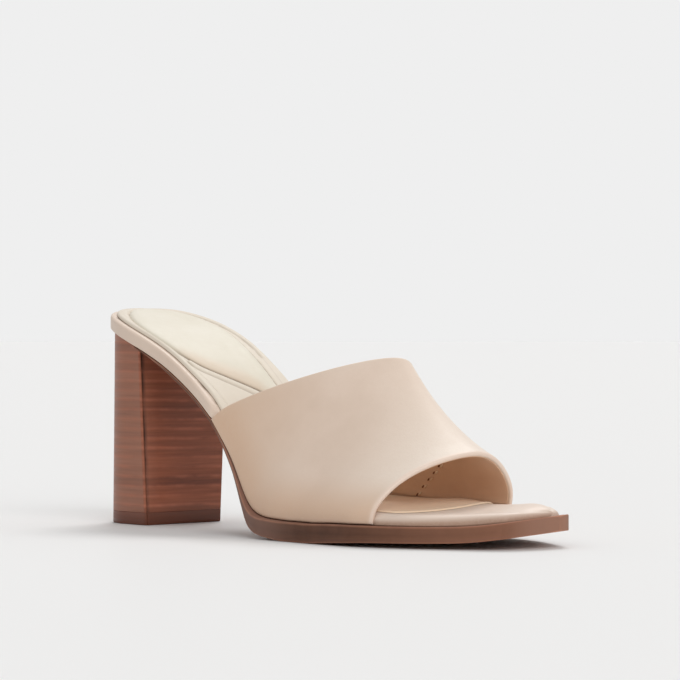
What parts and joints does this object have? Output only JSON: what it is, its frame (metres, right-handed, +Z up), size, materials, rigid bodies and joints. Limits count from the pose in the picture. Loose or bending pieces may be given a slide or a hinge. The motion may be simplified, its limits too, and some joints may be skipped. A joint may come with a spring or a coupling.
{
  "type": "block heel mule",
  "caption": "Right shoe: open-toe, open-back mule with a wide one-piece upper, padded footbed and high block heel.",
  "frame": {"origin": "centre of the heel's flat floor face", "axes": "+X from heel to toe, +Y to the inner (medial) side of the foot, +Z up from the floor"},
  "size_m": [0.2239, 0.0743, 0.0858],
  "materials": {
    "top_lift": "dark brown, satin",
    "stacked_heel": "stacked brown leather look, waxed satin",
    "sole": "brown, satin",
    "rim_leather": "cream, satin",
    "sock_leather": "cream, matte",
    "upper_leather": "smooth bone nude, soft satin"
  },
  "bodies": {
    "root": {"heel_top_lift": "top_lift", "heel_block": "stacked_heel", "outsole": "sole", "footbed": "rim_leather", "insole_sock": "sock_leather", "upper": "upper_leather"}
  },
  "joints": []
}
